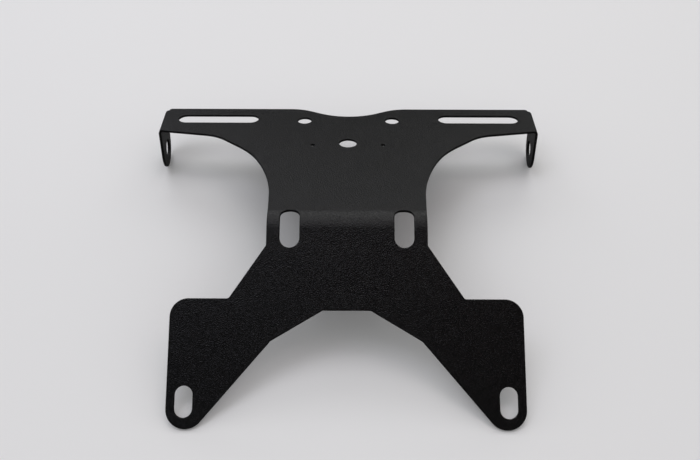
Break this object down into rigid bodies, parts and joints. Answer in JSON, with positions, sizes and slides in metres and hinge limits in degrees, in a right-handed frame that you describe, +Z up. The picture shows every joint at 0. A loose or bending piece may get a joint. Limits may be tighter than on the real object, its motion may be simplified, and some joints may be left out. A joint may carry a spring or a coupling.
{
  "type": "tail tidy",
  "caption": "Black powder coated sheet steel bracket, folded across its waist, with slotted wings and drilled side tabs above and slotted legs below that carry a number plate.",
  "frame": {"origin": "middle of the box's underside, on the table under the bracket, which stands on its two leg tips and on the round ends of its two tabs", "axes": "+X across the wings to the right tab, +Y from the leg tips to the back edge of the upper plate, +Z up from the table"},
  "size_m": [0.2252, 0.2072, 0.0538],
  "materials": {
    "powder_coat": "black fine-textured powder coat on steel, satin, with soft worn rims"
  },
  "bodies": {
    "root": {"folded_bracket": "powder_coat"}
  },
  "joints": []
}
